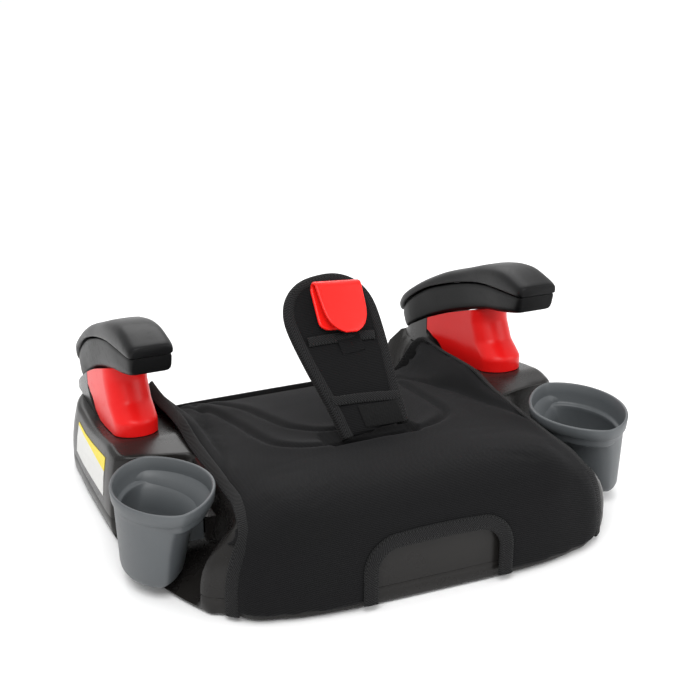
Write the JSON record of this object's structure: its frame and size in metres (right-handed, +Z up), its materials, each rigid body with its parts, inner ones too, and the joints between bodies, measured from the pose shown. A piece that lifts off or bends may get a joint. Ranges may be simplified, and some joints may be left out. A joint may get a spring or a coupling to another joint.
{
  "type": "booster seat",
  "caption": "Backless car booster seat with a padded fabric cover, armrests, slide-on cup holders, a folding centre strap with a belt clip, and rear lower-anchor connectors.",
  "frame": {"origin": "on the floor under the middle foot, on the left-right symmetry plane, 205 mm behind the front panel", "axes": "+Z up, the front of the seat faces -Y, +X towards the cup holder on the viewer's right"},
  "size_m": [0.4728, 0.3974, 0.2011],
  "materials": {
    "shell_plastic": "satin black moulded polypropylene",
    "foot_rubber": "matt black rubber",
    "screw_steel": "zinc-plated steel",
    "foam": "open-cell foam, hidden under the cover",
    "cover_fabric": "charcoal fabric with a fine cross rib and twill binding",
    "arm_plastic": "satin black",
    "soft_pad": "soft-touch black",
    "red_plastic": "satin bright red",
    "cup_plastic": "slate grey, fine matt grain",
    "webbing": "woven polyester webbing",
    "latch_plastic": "dark grey",
    "latch_steel": "plated steel",
    "label": "blank white vinyl"
  },
  "bodies": {
    "base": {"lower_shell": "shell_plastic", "upper_shell": "shell_plastic", "rubber_feet": "foot_rubber", "shell_screws": "screw_steel", "foam_pad": "foam", "seat_cover": "cover_fabric", "arm_post_left": "shell_plastic", "arm_post_right": "shell_plastic", "arm_insert_left": "red_plastic", "arm_insert_right": "red_plastic", "arm_housing_left": "arm_plastic", "arm_housing_right": "arm_plastic", "arm_pad_left": "soft_pad", "arm_pad_right": "soft_pad", "arm_screws": "screw_steel", "cup_rail_left": "shell_plastic", "cup_rail_right": "shell_plastic", "anchor_bar": "screw_steel", "anchor_clamps": "shell_plastic", "anchor_screws": "screw_steel", "strap_webbing": "webbing", "strap_slider": "screw_steel", "side_label": "label"},
    "strap": {"strap_pad": "cover_fabric", "clip_webbing": "webbing"},
    "clip": {"belt_clip": "red_plastic"},
    "cup_left": {"cup_holder_left": "cup_plastic"},
    "cup_right": {"cup_holder_right": "cup_plastic"},
    "latch_left": {"latch_body_left": "latch_plastic", "latch_pin_left": "latch_steel", "latch_spring_left": "latch_steel", "latch_webbing_left": "webbing"},
    "latch_right": {"latch_body_right": "latch_plastic", "latch_pin_right": "latch_steel", "latch_spring_right": "latch_steel", "latch_webbing_right": "webbing"},
    "hook_left": {"latch_hook_left": "latch_steel"},
    "hook_right": {"latch_hook_right": "latch_steel"},
    "button_left": {"latch_button_left": "red_plastic"},
    "button_right": {"latch_button_right": "red_plastic"}
  },
  "joints": [
    {"name": "strap_fold", "type": "hinge", "parent": "base", "child": "strap", "pos_m": [0, -0.073, 0.082], "axis": [1, 0, 0], "range_deg": [-36, 92]},
    {"name": "clip_tilt", "type": "hinge", "parent": "strap", "child": "clip", "pos_m": [0.0106, -0.0127, 0.1604], "axis": [1, 0, 0], "range_deg": [0, 40]},
    {"name": "cup_left_lift", "type": "slide", "parent": "base", "child": "cup_left", "axis": [0, 0, 1], "range_m": [0, 0.055]},
    {"name": "cup_right_lift", "type": "slide", "parent": "base", "child": "cup_right", "axis": [0, 0, 1], "range_m": [0, 0.055]},
    {"name": "latch_left_pull", "type": "slide", "parent": "base", "child": "latch_left", "axis": [0, 1, 0], "range_m": [0, 0.07]},
    {"name": "latch_right_pull", "type": "slide", "parent": "base", "child": "latch_right", "axis": [0, 1, 0], "range_m": [0, 0.07]},
    {"name": "latch_left_button", "type": "slide", "parent": "latch_left", "child": "button_left", "axis": [0, 0, -1], "range_m": [0, 0.003], "deforming": ["latch_spring_left"]},
    {"name": "latch_right_button", "type": "slide", "parent": "latch_right", "child": "button_right", "axis": [0, 0, -1], "range_m": [0, 0.003], "deforming": ["latch_spring_right"]},
    {"name": "latch_left_hook", "type": "hinge", "parent": "latch_left", "child": "hook_left", "pos_m": [-0.158, 0.149, 0.0346], "axis": [-1, 0, 0], "range_deg": [0, 24.1]},
    {"name": "latch_right_hook", "type": "hinge", "parent": "latch_right", "child": "hook_right", "pos_m": [0.158, 0.149, 0.0346], "axis": [-1, 0, 0], "range_deg": [0, 24.1]}
  ],
  "couplings": [
    {"joint": "latch_left_hook", "follows": "latch_left_button", "rad_per_m": 139.6},
    {"joint": "latch_right_hook", "follows": "latch_right_button", "rad_per_m": 139.6}
  ]
}
